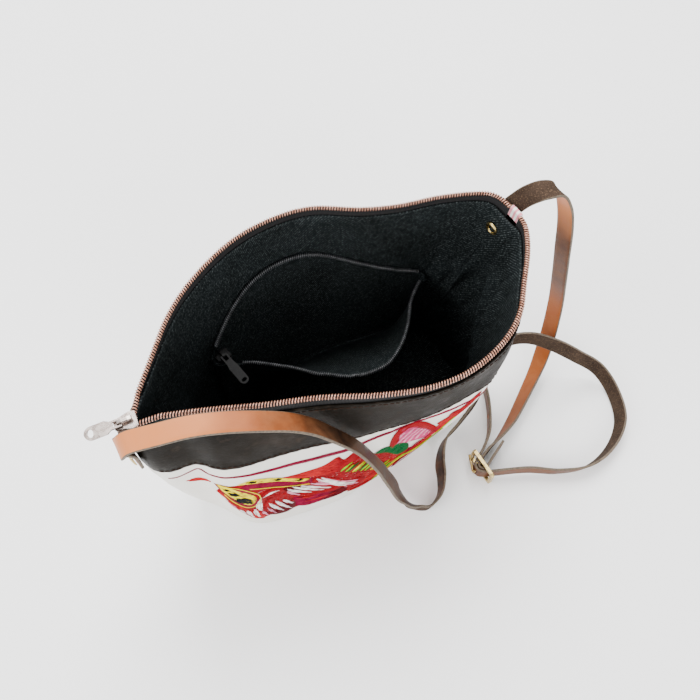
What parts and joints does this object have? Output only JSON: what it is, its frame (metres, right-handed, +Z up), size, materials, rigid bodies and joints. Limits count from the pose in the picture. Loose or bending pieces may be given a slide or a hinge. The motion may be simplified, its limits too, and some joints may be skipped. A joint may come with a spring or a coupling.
{
  "type": "embroidered zip-top purse",
  "caption": "Open zip-top purse: leather band over embroidered cotton, lined, with an inner zip pocket and a buckled leather strap.",
  "frame": {"origin": "centre of the base on the surface the purse stands on", "axes": "+X along the mouth from the zip slider to the zip end, -Y towards the embroidered front, +Z up"},
  "size_m": [0.3414, 0.2031, 0.1987],
  "materials": {
    "black_metal": "satin enamel",
    "black_zip": "satin",
    "cotton": "matte plain weave",
    "embroidered_cotton": "raised satin-stitch embroidery on off-white cotton",
    "leather_band": "smooth, slightly glossy, creased",
    "lining_cloth": "matte twill",
    "old_brass": "antique satin",
    "pale_nickel": "soft polished",
    "strap_leather": "waxed tan grain side, dark flesh side",
    "zip_coil": "metallised copper sheen",
    "zip_tape": "matte woven tape"
  },
  "bodies": {
    "purse": {"band_front": "leather_band", "band_back": "leather_band", "front_panel": "embroidered_cotton", "back_panel": "cotton", "base_panel": "cotton", "lining": "lining_cloth", "zip_tape_front": "zip_tape", "zip_tape_back": "zip_tape", "zip_teeth_front": "zip_coil", "zip_teeth_back": "zip_coil", "zip_end_tab": "cotton", "zip_slider": "pale_nickel", "pocket_pouch": "lining_cloth", "pocket_teeth_wall": "black_zip", "pocket_teeth_lip": "black_zip", "pocket_slider": "black_metal", "strap_long": "strap_leather", "strap_short": "strap_leather", "buckle_frame": "old_brass", "buckle_prong": "old_brass", "eyelet": "old_brass", "rivet_cap_right": "old_brass", "rivet_cap_left": "old_brass"},
    "pull": {"zip_pull": "pale_nickel"},
    "inner_pull": {"pocket_pull": "black_metal"}
  },
  "joints": [
    {"name": "zip_pull_hinge", "type": "hinge", "parent": "purse", "child": "pull", "pos_m": [-0.12708, 0.00032, 0.18605], "axis": [0.1392, 0.9903, 0], "range_deg": [0, 120]},
    {"name": "pocket_pull_hinge", "type": "hinge", "parent": "purse", "child": "inner_pull", "pos_m": [-0.05754, 0.03962, 0.11565], "axis": [-0.9842, -0.1773, 0], "range_deg": [0, 85]}
  ]
}
